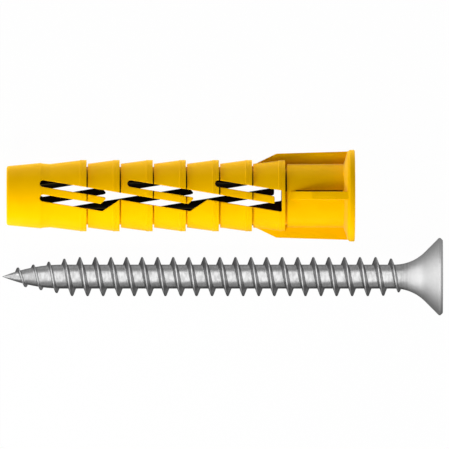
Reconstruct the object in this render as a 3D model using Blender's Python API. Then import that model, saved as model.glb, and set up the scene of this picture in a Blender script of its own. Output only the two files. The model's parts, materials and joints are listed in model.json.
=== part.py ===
"""Wall plug with screw: a moulded expansion plug and the countersunk screw that it takes.

The two pieces lie side by side on the ground at z = 0, with their tips at -X, the plug
at +Y and the screw at -Y. The origin is the centre of the pair's footprint. Lengths are
in metres. Each piece is drawn along its own +X axis, from its tip at 0, and is then laid
down at the angle at which it comes to rest.
"""

import math

import bmesh
import bpy
from mathutils import Matrix, Vector

# Screw
SCREW_LENGTH = 0.0507
CORE_RADIUS = 0.00138
THREAD_RADIUS = 0.00225
THREAD_PITCH = 0.00179
THREAD_FLANK_ANGLE = math.radians(19.0)
THREAD_CREST_FLAT = 0.00010
POINT_LENGTH = 0.0069
THREAD_START = 0.0012
THREAD_LEAD_IN = 0.0005
THREAD_TAPER_END = 0.0081
THREAD_TAPER_SLOPE = 0.19
THREAD_RUN_OUT = 0.0030
THREAD_OVERRUN = 0.0009

# Screw head
HEAD_RADIUS = 0.00445
HEAD_RIM_HEIGHT = 0.00055
HEAD_CONE_ANGLE = math.radians(45.0)
HEAD_FILLET_RADIUS = 0.0050
HEAD_FACE_CHAMFER = 0.0004

# Cross recess in the head
RECESS_REACH = 0.0024
RECESS_WING_WIDTH = 0.0011
RECESS_NOTCH_WIDTH = 0.00030
RECESS_NOTCH_REACH = 0.00125
RECESS_DEPTH = 0.0027
RECESS_FLOOR_DEPTH = 0.0019
RECESS_FLOOR_SCALE = 0.60

# Plug: length, nose and barbs
PLUG_LENGTH = 0.0400
TIP_RADIUS = 0.00339
TIP_EDGE = 0.00010
NOSE_LENGTH = 0.0039
NOSE_RADIUS = 0.00376
NOSE_GROOVE_WIDTH = 0.0011
NOSE_GROOVE_RADIUS = 0.00364
BARB_PITCH = 0.0038
BARB_ROOT_RADIUS = 0.00365
BARB_CREST_RADIUS = 0.0041
BARB_LAND = 0.00074

# Plug collar: a plain sleeve that ends in a flared rim
COLLAR_LENGTH = 0.0080
SLEEVE_RADIUS = 0.00367
RIM_RADIUS = 0.00527
RIM_BAND = 0.00055
FLARE_LENGTH = 0.00128
FLARE_STEP = 0.00042
RIM_CHAMFER = 0.00023

# Plug bore, sized round the screw
BORE_THREAD_CLEARANCE = 0.00035
BORE_CORE_CLEARANCE = 0.00012
BORE_TIP_GRIP = 0.00018
BORE_MOUTH_CHAMFER = 0.00030
BORE_FUNNEL_LENGTH = 0.0040
BORE_NOSE_TAPER = 0.0030
BORE_NOSE_LAND = 0.0030

# Fins that stop the plug turning in the wall
FIN_THICKNESS = 0.00092
FIN_DRAFT = math.radians(6.0)
FIN_SETBACK = 0.00019
FIN_FALL = 0.00025
FIN_ROOT_DEPTH = 0.00045
FIN_RUN_IN = 0.00058
SIDE_FIN_LEAD = 0.0034
SIDE_FIN_RAMP = 0.0024
FACE_FIN_LEAD = -0.0006
FACE_FIN_RAMP = 0.0024

# Zigzag expansion slots, cut from the front and, half a turn round, from the back
SLOT_WIDTH = 0.00077
SLOT_ANGLE = math.radians(9.3)
SLOT_START = 0.00422
SLOT_RISE = 0.00138
SLOT_PERIOD = 0.01005
SLOT_END_MARGIN = 0.0004
SLOT_END_WIDTH = 0.00083
TONGUE_LENGTH = 0.0066
TONGUE_END_LEAN = 0.0008
LINK_CORNER_STEP = 0.0002
LINK_WIDTH = 0.0014
SLOT_FILLET = 0.00013
SLOT_MEETING_DEPTH = 0.00005

# How the pair lies
AXIS_SPACING = 0.00931
TIP_STAGGER = 0.00034

# Facets
PLUG_STEPS = 48
SCREW_STEPS = 28
HEAD_ARC_STEPS = 5
SLOT_ARC_STEPS = 5
SLOT_FILLET_STEPS = 2

# Sizes that follow from the ones above
HEAD_CONE_END = SCREW_LENGTH - HEAD_RIM_HEIGHT
HEAD_CORNER = HEAD_CONE_END - (HEAD_RADIUS - CORE_RADIUS) / math.tan(HEAD_CONE_ANGLE)
HEAD_FILLET_TANGENT = HEAD_FILLET_RADIUS * math.tan(HEAD_CONE_ANGLE / 2)
HEAD_FILLET_START = HEAD_CORNER - HEAD_FILLET_TANGENT
HEAD_CONE_START = HEAD_CORNER + HEAD_FILLET_TANGENT * math.cos(HEAD_CONE_ANGLE)
THREAD_END = HEAD_FILLET_START + THREAD_OVERRUN
SLEEVE_START = PLUG_LENGTH - COLLAR_LENGTH
SLEEVE_END = PLUG_LENGTH - FLARE_LENGTH
SLOT_END = SLEEVE_START - SLOT_END_MARGIN
SLOT_HALF_HEIGHT = SLOT_WIDTH / 2 / math.cos(SLOT_ANGLE)
TONGUE_POINT = TONGUE_LENGTH + TONGUE_END_LEAN
LINK_CORNER = TONGUE_LENGTH + LINK_CORNER_STEP
LINK_PEAK = TONGUE_POINT + LINK_WIDTH
WELD = 1e-7


def make_material(name, colour, metallic, roughness):
    """Return a Principled material."""
    material = bpy.data.materials.new(name)
    material.use_nodes = True
    shader = material.node_tree.nodes["Principled BSDF"]
    shader.inputs["Base Color"].default_value = (*colour, 1.0)
    shader.inputs["Metallic"].default_value = metallic
    shader.inputs["Roughness"].default_value = roughness
    material.diffuse_color = (*colour, 1.0)
    return material


def make_object(name, bm, material=None):
    """Turn a bmesh into a linked object with outward normals."""
    bmesh.ops.recalc_face_normals(bm, faces=bm.faces)
    mesh = bpy.data.meshes.new(name)
    bm.to_mesh(mesh)
    bm.free()
    mesh.shade_smooth()
    mesh.set_sharp_from_angle(angle=math.radians(20.0))
    obj = bpy.data.objects.new(name, mesh)
    if material is not None:
        mesh.materials.append(material)
    bpy.context.scene.collection.objects.link(obj)
    return obj


def make_helper(name, bm):
    """Make a cutter or a guide, which isn't part of the model."""
    helper = make_object(name, bm)
    helper.hide_render = True
    helper.display_type = "WIRE"
    return helper


def add_boolean(obj, helper, operation):
    """Combine an object with a helper solid, which then moves with it."""
    helper.parent = obj
    modifier = obj.modifiers.new(helper.name, "BOOLEAN")
    modifier.operation = operation
    modifier.object = helper
    modifier.solver = "EXACT"


def lathe(outline, steps):
    """Spin a closed (axial, radius) outline about X."""
    bm = bmesh.new()
    verts = [bm.verts.new((axial, radius, 0.0)) for axial, radius in outline]
    edges = [bm.edges.new((a, b)) for a, b in zip(verts, verts[1:] + verts[:1])]
    bmesh.ops.spin(
        bm, geom=verts + edges, axis=(1, 0, 0), cent=(0, 0, 0),
        angle=math.tau, steps=steps, use_merge=True,
    )
    return bm


def extrude_outline(bm, points, depth):
    """Add a prism: a flat outline of 3-D points, extruded by a vector. Returns its far verts."""
    face = bm.faces.new([bm.verts.new(point) for point in points])
    grown = bmesh.ops.extrude_face_region(bm, geom=[face], use_keep_orig=True)["geom"]
    far = [item for item in grown if isinstance(item, bmesh.types.BMVert)]
    bmesh.ops.translate(bm, verts=far, vec=depth)
    return far


# Screw


def core_radius(axial):
    """Return the screw's radius without its thread, from the point to the rim."""
    if axial < POINT_LENGTH:
        return CORE_RADIUS * (1 - (1 - axial / POINT_LENGTH) ** 2)
    if axial < HEAD_FILLET_START:
        return CORE_RADIUS
    if axial < HEAD_CONE_START:
        along = axial - HEAD_FILLET_START
        return CORE_RADIUS + HEAD_FILLET_RADIUS - math.sqrt(HEAD_FILLET_RADIUS**2 - along**2)
    return HEAD_RADIUS - max(HEAD_CONE_END - axial, 0.0) * math.tan(HEAD_CONE_ANGLE)


def thread_height(axial):
    """Return how far the thread's crest stands out of the core."""
    crest = THREAD_RADIUS - max(THREAD_TAPER_END - axial, 0.0) * THREAD_TAPER_SLOPE
    height = max(crest - core_radius(min(axial, THREAD_END - THREAD_RUN_OUT)), 0.0)
    lead_in = min(max((axial - THREAD_START) / THREAD_LEAD_IN, 0.0), 1.0)
    run_out = min(max((axial - THREAD_END) / THREAD_RUN_OUT + 1, 0.0), 1.0)
    return height * lead_in * math.sqrt(1 - run_out**2)


def thread_section(centre):
    """Return the (axial, radius) points across one ridge of the thread."""
    flat = THREAD_CREST_FLAT / 2
    foot = flat + thread_height(centre) * math.tan(THREAD_FLANK_ANGLE)
    points = []
    for offset in (-foot, -flat, flat, foot):
        axial = min(max(centre + offset, 0.0), THREAD_END)
        rise = thread_height(axial) if abs(offset) == flat else 0.0
        points.append((axial, core_radius(axial) + rise))
    return points


def threaded_shank(bm):
    """Add the shank: a ridge and root wound round the core, closed to a ring at THREAD_END."""
    turns = math.ceil(THREAD_END / THREAD_PITCH) + 2
    rows = []
    for step in range(-SCREW_STEPS, turns * SCREW_STEPS):
        angle = math.tau * (step % SCREW_STEPS) / SCREW_STEPS
        section = thread_section(THREAD_PITCH * step / SCREW_STEPS)
        rows.append([
            bm.verts.new((axial, radius * math.cos(angle), radius * math.sin(angle)))
            for axial, radius in section
        ])
    for here, row in enumerate(rows[:-SCREW_STEPS - 1]):
        strip = row + rows[here + SCREW_STEPS][:1]
        beside = rows[here + 1] + rows[here + SCREW_STEPS + 1][:1]
        for a in range(len(strip) - 1):
            bm.faces.new((strip[a], strip[a + 1], beside[a + 1], beside[a]))


def head_sections():
    """Return the (axial, radius) rings from the shank's end to the head's flat face."""
    rings = []
    for step in range(HEAD_ARC_STEPS + 1):
        axial = THREAD_END + (HEAD_CONE_START - THREAD_END) * step / HEAD_ARC_STEPS
        rings.append((axial, core_radius(axial)))
    rings.append((HEAD_CONE_END, HEAD_RADIUS))
    rings.append((SCREW_LENGTH - HEAD_FACE_CHAMFER, HEAD_RADIUS))
    rings.append((SCREW_LENGTH, HEAD_RADIUS - HEAD_FACE_CHAMFER))
    return rings


def screw_head(bm):
    """Add the head's rings and close its flat face."""
    loops = []
    for axial, radius in head_sections():
        turn = [math.tau * step / SCREW_STEPS for step in range(SCREW_STEPS)]
        loops.append([bm.verts.new((axial, radius * math.cos(a), radius * math.sin(a))) for a in turn])
    for low, high in zip(loops, loops[1:]):
        for step in range(SCREW_STEPS):
            after = (step + 1) % SCREW_STEPS
            bm.faces.new((low[step], high[step], high[after], low[after]))
    bm.faces.new(loops[-1])


def recess_cutter():
    """Return the tapered cross that is pressed into the head, with a notch between its wings."""
    half = RECESS_WING_WIDTH / 2
    notch = RECESS_NOTCH_WIDTH / math.sqrt(2)
    diagonal = RECESS_NOTCH_REACH / math.sqrt(2)
    quarter = [
        (RECESS_REACH, -half), (RECESS_REACH, half), (half + notch, half),
        (diagonal, diagonal), (half, half + notch),
    ]
    outline = []
    for turn in range(4):
        spun = Matrix.Rotation(turn * math.pi / 2, 2)
        outline += [spun @ Vector(point) for point in quarter]
    bm = bmesh.new()
    lip = 0.1 * RECESS_DEPTH
    top = [(SCREW_LENGTH + lip, p.x, p.y) for p in outline]
    far = extrude_outline(bm, top, (-lip - RECESS_FLOOR_DEPTH, 0, 0))
    bmesh.ops.scale(bm, verts=far, vec=(1, RECESS_FLOOR_SCALE, RECESS_FLOOR_SCALE))
    floor = [face for face in bm.faces if all(v in far for v in face.verts)]
    grown = bmesh.ops.extrude_face_region(bm, geom=floor)["geom"]
    bmesh.ops.delete(bm, geom=floor, context="FACES_ONLY")
    tip = [item for item in grown if isinstance(item, bmesh.types.BMVert)]
    bmesh.ops.translate(bm, verts=tip, vec=(RECESS_FLOOR_DEPTH - RECESS_DEPTH, 0, 0))
    bmesh.ops.scale(bm, verts=tip, vec=(1, 1 - RECESS_FLOOR_SCALE, 1 - RECESS_FLOOR_SCALE))
    return make_helper("screw_recess", bm)


def build_screw():
    """Return the screw: one steel piece with a point, a thread, a head and a cross recess."""
    bm = bmesh.new()
    threaded_shank(bm)
    screw_head(bm)
    bmesh.ops.remove_doubles(bm, verts=bm.verts, dist=WELD)
    screw = make_object("screw", bm, make_material("zinc_plated_steel", (0.62, 0.62, 0.63), 1.0, 0.32))
    add_boolean(screw, recess_cutter(), "DIFFERENCE")
    return screw


# Plug


def barb_steps():
    """Return where each barb ends, from the nose to the collar."""
    room = SLEEVE_START - NOSE_LENGTH - NOSE_GROOVE_WIDTH - BARB_PITCH / 2
    count = 1 + math.floor(room / BARB_PITCH)
    return [SLEEVE_START - index * BARB_PITCH for index in reversed(range(count))]


def plug_outside():
    """Return the outer (axial, radius) outline, from the tip to the mouth."""
    outline = [
        (0.0, TIP_RADIUS - TIP_EDGE),
        (TIP_EDGE, TIP_RADIUS),
        (NOSE_LENGTH, NOSE_RADIUS),
        (NOSE_LENGTH + NOSE_GROOVE_WIDTH, NOSE_GROOVE_RADIUS),
    ]
    for step in barb_steps():
        outline += [(step - BARB_LAND, BARB_CREST_RADIUS), (step, BARB_CREST_RADIUS)]
        outline.append((step, SLEEVE_RADIUS if step == SLEEVE_START else BARB_ROOT_RADIUS))
    outline += [
        (SLEEVE_END, SLEEVE_RADIUS),
        (SLEEVE_END + FLARE_STEP, RIM_RADIUS - RIM_CHAMFER),
        (PLUG_LENGTH - RIM_BAND, RIM_RADIUS),
        (PLUG_LENGTH, RIM_RADIUS),
    ]
    return outline


def plug_bore():
    """Return the bore's (axial, radius) outline, from the mouth to the tip."""
    mouth = THREAD_RADIUS + BORE_THREAD_CLEARANCE
    waist = CORE_RADIUS + BORE_CORE_CLEARANCE
    nose = CORE_RADIUS - BORE_TIP_GRIP
    return [
        (PLUG_LENGTH, mouth + BORE_MOUTH_CHAMFER),
        (PLUG_LENGTH - BORE_MOUTH_CHAMFER, mouth),
        (SLEEVE_START, mouth),
        (SLEEVE_START - BORE_FUNNEL_LENGTH, waist),
        (BORE_NOSE_LAND + BORE_NOSE_TAPER, waist),
        (BORE_NOSE_LAND, nose),
        (0.0, nose),
    ]


def fin(bm, start, ramp, turn):
    """Add one fin: a plate that ramps up from the wall, thins outwards and runs into the rim."""
    run_out = SLEEVE_END + FLARE_STEP + RIM_CHAMFER / 2
    top = RIM_RADIUS - FIN_SETBACK
    foot = SLEEVE_RADIUS - FIN_ROOT_DEPTH
    side = FIN_THICKNESS / 2
    profile = [
        (start - FIN_RUN_IN, foot),
        (start, SLEEVE_RADIUS),
        (start + ramp, top - FIN_FALL),
        (run_out, top),
        (run_out, foot),
    ]
    before = len(bm.verts)
    extrude_outline(bm, [(s, r, -side) for s, r in profile], (0, 0, FIN_THICKNESS))
    bm.verts.ensure_lookup_table()
    plate = bm.verts[before:]
    for vert in plate:
        vert.co.z *= 1 + (top - vert.co.y) * math.tan(FIN_DRAFT) / side
    bmesh.ops.rotate(bm, verts=plate, matrix=Matrix.Rotation(turn, 3, "X"))


def fin_guide():
    """Return the four fins: one on each side, and shorter ones at the front and the back."""
    bm = bmesh.new()
    for turn in range(4):
        if turn % 2 == 0:
            fin(bm, SLEEVE_START - SIDE_FIN_LEAD, SIDE_FIN_RAMP, turn * math.pi / 2)
        else:
            fin(bm, SLEEVE_START - FACE_FIN_LEAD, FACE_FIN_RAMP, turn * math.pi / 2)
    return make_helper("plug_fins", bm)


def slot_edge(slot, axial, side):
    """Return the height across the plug of a slot's upper (1) or lower (-1) edge."""
    centre = SLOT_RISE - math.tan(SLOT_ANGLE) * (axial - SLOT_START - slot * SLOT_PERIOD)
    return centre + side * SLOT_HALF_HEIGHT


def slot_nose(slot):
    """Return the round start of a slot, from its lower edge to its upper edge."""
    axial = SLOT_START + max(slot, 0) * SLOT_PERIOD
    height = slot_edge(slot, axial, 0)
    points = []
    for step in range(SLOT_ARC_STEPS + 1):
        angle = -math.pi / 2 - SLOT_ANGLE - math.pi * step / SLOT_ARC_STEPS
        reach = SLOT_WIDTH / 2
        points.append((axial + reach * math.cos(angle), height + reach * math.sin(angle)))
    return points


def slot_outline():
    """Return the zigzag's outline as (axial, height) points, and which of them are corners.

    Each slot slopes down towards the mouth and starts one period after the last. The tongue
    between two slots is free at its mouth end, where a link joins the lower slot to the
    upper one. The last tongue ends at a straight cross slot.
    """
    tongues = max(round((SLOT_END - SLOT_START) / SLOT_PERIOD), 1)
    last = tongues - 1
    cut = SLOT_END - SLOT_END_WIDTH

    def tongue_end(slot):
        if slot == last:
            return [(cut, slot_edge(slot - 1, cut, 1)), (cut, slot_edge(slot, cut, -1))]
        low = SLOT_START + slot * SLOT_PERIOD + TONGUE_LENGTH
        high = SLOT_START + slot * SLOT_PERIOD + TONGUE_POINT
        return [(low, slot_edge(slot - 1, low, 1)), (high, slot_edge(slot, high, -1))]

    corners = []
    outline = []
    for slot in range(tongues):
        outline += slot_nose(slot)
        corners += tongue_end(slot + 1) if slot < last else [
            (SLOT_END, slot_edge(last, SLOT_END, 1)), (SLOT_END, slot_edge(last - 1, SLOT_END, -1)),
        ]
        outline += corners[-2:]
    for slot in range(last - 1, -1, -1):
        peak = SLOT_START + slot * SLOT_PERIOD + LINK_PEAK
        corner = SLOT_START + slot * SLOT_PERIOD + LINK_CORNER
        corners += [(peak, slot_edge(slot, peak, -1)), (corner, slot_edge(slot - 1, corner, -1))]
        outline += corners[-2:]
    corners += tongue_end(0)
    outline += slot_nose(-1) + corners[-2:]
    return outline, corners


def slot_cutter(name, turn):
    """Return the zigzag as a prism from just past the plug's middle out through its wall."""
    outline, corners = slot_outline()
    bm = bmesh.new()
    reach = BARB_CREST_RADIUS + SLOT_WIDTH
    base = [(s, v, -SLOT_MEETING_DEPTH) for s, v in outline]
    extrude_outline(bm, base, (0, 0, reach + SLOT_MEETING_DEPTH))
    upright = []
    for edge in bm.edges:
        a, b = edge.verts
        stands = abs(a.co.z - b.co.z) > reach / 2
        if stands and any(math.dist(a.co.xy, corner) < WELD for corner in corners):
            upright.append(edge)
    bmesh.ops.bevel(
        bm, geom=upright, offset=SLOT_FILLET, offset_type="OFFSET", affect="EDGES",
        segments=SLOT_FILLET_STEPS, profile=0.5,
    )
    bmesh.ops.rotate(bm, verts=bm.verts, matrix=Matrix.Rotation(turn, 3, "X"))
    return make_helper(name, bm)


def build_plug():
    """Return the plug: one moulded piece with a bore, barbs, fins, a flared rim and slots."""
    bm = lathe(plug_outside() + plug_bore(), PLUG_STEPS)
    plug = make_object("plug", bm, make_material("yellow_nylon", (0.93, 0.64, 0.0), 0.0, 0.30))
    add_boolean(plug, fin_guide(), "UNION")
    add_boolean(plug, slot_cutter("plug_front_slots", 0.0), "DIFFERENCE")
    add_boolean(plug, slot_cutter("plug_back_slots", math.pi), "DIFFERENCE")
    return plug


# Laying the pair down


def shape_points(obj, matrix):
    """Return the points of an object's finished shape, moved by a matrix."""
    bpy.context.view_layer.update()
    shown = obj.evaluated_get(bpy.context.evaluated_depsgraph_get())
    points = [matrix @ vert.co for vert in shown.to_mesh().vertices]
    shown.to_mesh_clear()
    return points


def resting_pitch(points):
    """Return the turn about Y that lays a piece on the ground.

    The piece rests on the stretch of its lower hull that passes under its middle.
    """
    hull = []
    for x, z in sorted((p.x, p.z) for p in points):
        while len(hull) > 1:
            (x0, z0), (x1, z1) = hull[-2:]
            if (x1 - x0) * (z - z0) > (z1 - z0) * (x - x0):
                break
            hull.pop()
        hull.append((x, z))
    middle = (hull[0][0] + hull[-1][0]) / 2
    for (x0, z0), (x1, z1) in zip(hull, hull[1:]):
        if x0 <= middle <= x1:
            return math.atan2(z1 - z0, x1 - x0)
    return 0.0


def lay_down(obj, x, y):
    """Tilt a piece on to its rim and its thickest ring, and set it on the ground."""
    pitch = resting_pitch(shape_points(obj, Matrix()))
    obj.rotation_euler = (0.0, pitch, 0.0)
    turned = shape_points(obj, Matrix.Rotation(pitch, 4, "Y"))
    lowest = min(p.z for p in turned)
    tip = min(p.x for p in turned)
    obj.location = (x - tip, y, -lowest)


def main():
    """Model both pieces, lay them down and centre the pair on the origin."""
    for old in list(bpy.data.objects):
        bpy.data.objects.remove(old, do_unlink=True)

    pair = bpy.data.objects.new("pair", None)
    bpy.context.scene.collection.objects.link(pair)
    plug = build_plug()
    screw = build_screw()
    lay_down(plug, TIP_STAGGER, AXIS_SPACING)
    lay_down(screw, 0.0, 0.0)
    for obj in (plug, screw):
        obj.parent = pair

    bpy.context.view_layer.update()
    points = shape_points(plug, plug.matrix_world) + shape_points(screw, screw.matrix_world)
    pair.location = (
        -(min(p.x for p in points) + max(p.x for p in points)) / 2,
        -(min(p.y for p in points) + max(p.y for p in points)) / 2,
        0.0,
    )


main()
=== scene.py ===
"""Looks of the wall plug with screw: fine meshes, finishes, studio and camera.

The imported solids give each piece's place. Both are replaced by finer meshes of the same
form: the plug with rounded moulded edges, and the screw with a rolled thread. Each is
drawn along its own +X axis, from its tip at 0, and is then laid where its solid lies.
"""

import json
import logging
import math
from dataclasses import dataclass, field
from enum import Enum
from typing import Any, Iterable, Sequence

import bmesh
import bpy
from mathutils import Euler, Matrix, Vector
from mathutils.kdtree import KDTree


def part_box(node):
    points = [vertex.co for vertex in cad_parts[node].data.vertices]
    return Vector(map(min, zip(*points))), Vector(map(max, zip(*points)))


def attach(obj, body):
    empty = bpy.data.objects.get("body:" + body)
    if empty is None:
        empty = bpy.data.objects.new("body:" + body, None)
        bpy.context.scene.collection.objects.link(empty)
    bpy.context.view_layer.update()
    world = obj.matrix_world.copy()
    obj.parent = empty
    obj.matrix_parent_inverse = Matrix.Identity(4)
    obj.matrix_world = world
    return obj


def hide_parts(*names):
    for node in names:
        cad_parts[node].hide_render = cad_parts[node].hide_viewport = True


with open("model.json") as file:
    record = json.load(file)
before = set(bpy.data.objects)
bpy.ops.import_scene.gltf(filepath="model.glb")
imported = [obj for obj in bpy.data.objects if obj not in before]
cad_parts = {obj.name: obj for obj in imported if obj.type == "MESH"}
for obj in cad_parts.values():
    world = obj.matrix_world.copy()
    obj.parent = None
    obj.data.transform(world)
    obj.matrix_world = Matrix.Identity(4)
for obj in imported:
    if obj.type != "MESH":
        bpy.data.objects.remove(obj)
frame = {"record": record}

logging.basicConfig(level=logging.INFO, format="%(message)s")
log = logging.getLogger("wall_plug")

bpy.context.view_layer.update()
MM = 0.001
WELD = 1e-7
CUT_TRIES = 12
# A corner's arc takes a little less than half of the edges beside it
EDGE_PARTS = 2.05

Point = tuple[float, float]


class Piece(Enum):
    """The solids that the fine meshes stand for, with the mount that gives each one's lie."""

    PLUG = ("plug", "plug_mouth_face", "yellow_nylon")
    SCREW = ("screw", "screw_head_face", "zinc_plated_steel")

    @property
    def node(self) -> str:
        """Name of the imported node."""
        return self.value[0]

    @property
    def slot(self) -> str:
        """Name of the record's material slot."""
        return self.value[2]

    def pitch(self) -> float:
        """Return the turn about Y that lays the piece along its solid.

        Returns:
            The angle, read from the piece's mount.
        """
        mounts = {mount["name"]: mount for mount in frame["record"]["mounts"]}
        axis = mounts[self.value[1]]["axis"]
        return -math.atan2(axis[2], axis[0])

    def placing(self, obj: bpy.types.Object) -> Matrix:
        """Return the matrix that lays a piece, drawn along +X, where its solid lies.

        Args:
            obj: The finished mesh, drawn from its tip at the origin.

        Returns:
            The matrix that moves the mesh into the frame.
        """
        low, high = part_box(self.node)
        turn = Euler((0.0, self.pitch(), 0.0)).to_matrix().to_4x4()
        corners = [turn @ vert.co for vert in obj.data.vertices]
        shift = Vector((
            low.x - min(p.x for p in corners),
            (low.y + high.y) / 2,
            low.z - min(p.z for p in corners),
        ))
        return Matrix.Translation(shift) @ turn

    def dress(
        self, obj: bpy.types.Object, finish: "MouldedNylon | ZincPlate", smooth_angle: float
    ) -> bpy.types.Object:
        """Lay a finished mesh where its solid lies, and give it its finish.

        Args:
            obj: The finished mesh, drawn from its tip at the origin.
            finish: What the piece is made of.
            smooth_angle: Edges that bend by more than this stay sharp.

        Returns:
            The same object.
        """
        placing = self.placing(obj)
        Bench.settle(obj, placing, smooth_angle)
        obj.data.materials.clear()
        obj.data.materials.append(finish.material(placing))
        return obj


def round_corners(points: Sequence[Point], radii: Sequence[float], steps: int) -> list[Point]:
    """Replace the inner corners of an open outline by arcs.

    Args:
        points: The outline's corners, ends included.
        radii: One radius for each inner corner, cut down where its edges are short.
        steps: Number of chords in each arc.

    Returns:
        The outline, with steps + 1 points in place of each inner corner.
    """
    rounded = [points[0]]
    for before, corner, after, radius in zip(points, points[1:], points[2:], radii):
        here = Vector(corner)
        back, ahead = Vector(before) - here, Vector(after) - here
        if radius <= 0 or back.length < WELD or ahead.length < WELD:
            rounded += [corner] * (steps + 1)
            continue
        bend = back.angle(ahead)
        room = min(back.length, ahead.length) / EDGE_PARTS
        reach = min(radius / math.tan(bend / 2), room)
        start, end = here + back.normalized() * reach, here + ahead.normalized() * reach
        for step in range(steps + 1):
            share = step / steps
            weights = ((1 - share) ** 2, 2 * share * (1 - share), share**2)
            point = start * weights[0] + here * weights[1] + end * weights[2]
            rounded.append((point.x, point.y))
    rounded.append(points[-1])
    return rounded


def round_loop(points: Sequence[Point], radii: Sequence[float], steps: int) -> list[Point]:
    """Replace the corners of a closed outline by arcs.

    Args:
        points: The outline's corners, each given once.
        radii: One radius for each corner, 0 where it stays sharp.
        steps: Number of chords in each arc.

    Returns:
        The closed outline, without doubled points.
    """
    rounded = round_corners([points[-1], *points, points[0]], radii, steps)[1:-1]
    pairs = zip(rounded, [rounded[-1], *rounded[:-1]])
    return [point for point, before in pairs if math.dist(point, before) > WELD]


def height_at(outline: Sequence[Point], axial: float) -> float:
    """Return the radius of an (axial, radius) outline at a place along it.

    Args:
        outline: The outline, which never turns back.
        axial: The place along the axis.

    Returns:
        The radius there, or the nearest end's radius beyond the ends.
    """
    for (start, low), (end, high) in zip(outline, outline[1:]):
        if start <= axial <= end and end - start > WELD:
            return low + (high - low) * (axial - start) / (end - start)
    return outline[-1][1] if axial > outline[-1][0] else outline[0][1]


def split_long(points: Sequence[Point], longest: float) -> list[Point]:
    """Add points to an open outline, so that no chord is longer than a length.

    Args:
        points: The outline's points.
        longest: The longest chord that is left.

    Returns:
        The outline with its added points.
    """
    split = [points[0]]
    for before, after in zip(points, points[1:]):
        parts = max(math.ceil(math.dist(before, after) / longest), 1)
        for part in range(1, parts + 1):
            share = part / parts
            split.append(tuple(a + (b - a) * share for a, b in zip(before, after)))
    return split


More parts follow.
